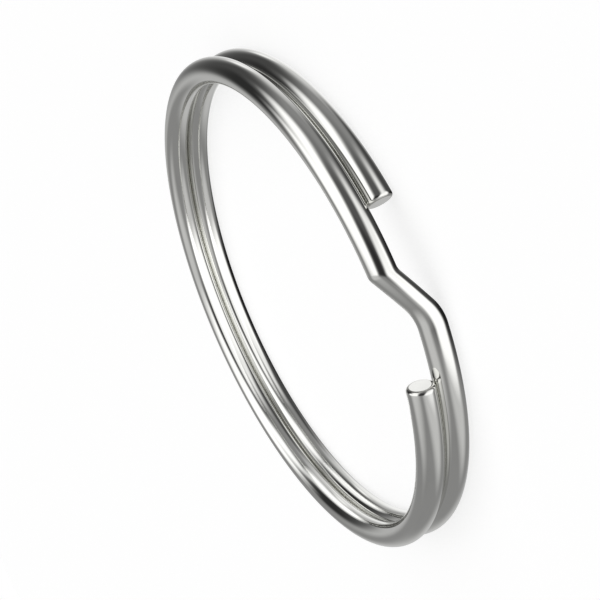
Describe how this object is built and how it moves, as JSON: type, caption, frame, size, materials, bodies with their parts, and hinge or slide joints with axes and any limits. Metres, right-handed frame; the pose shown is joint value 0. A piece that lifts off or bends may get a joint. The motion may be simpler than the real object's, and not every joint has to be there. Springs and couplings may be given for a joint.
{
  "type": "split ring",
  "caption": "Key ring of round spring wire wound into flat turns, stepped from one to the next by an offset crimp, its cut ends left short of the crimp so keys can be fed on.",
  "frame": {"origin": "on the ring's axis, in the plane that the lower turn rests on", "axes": "+Z along the ring's axis, from the lower turn to the upper; -Y towards the crimp; along the crimp the wire climbs towards +X"},
  "size_m": [0.025, 0.025, 0.0024],
  "materials": {
    "plated_wire": "bright nickel plate on round spring steel wire"
  },
  "bodies": {
    "root": {"split_ring": "plated_wire"}
  },
  "joints": []
}
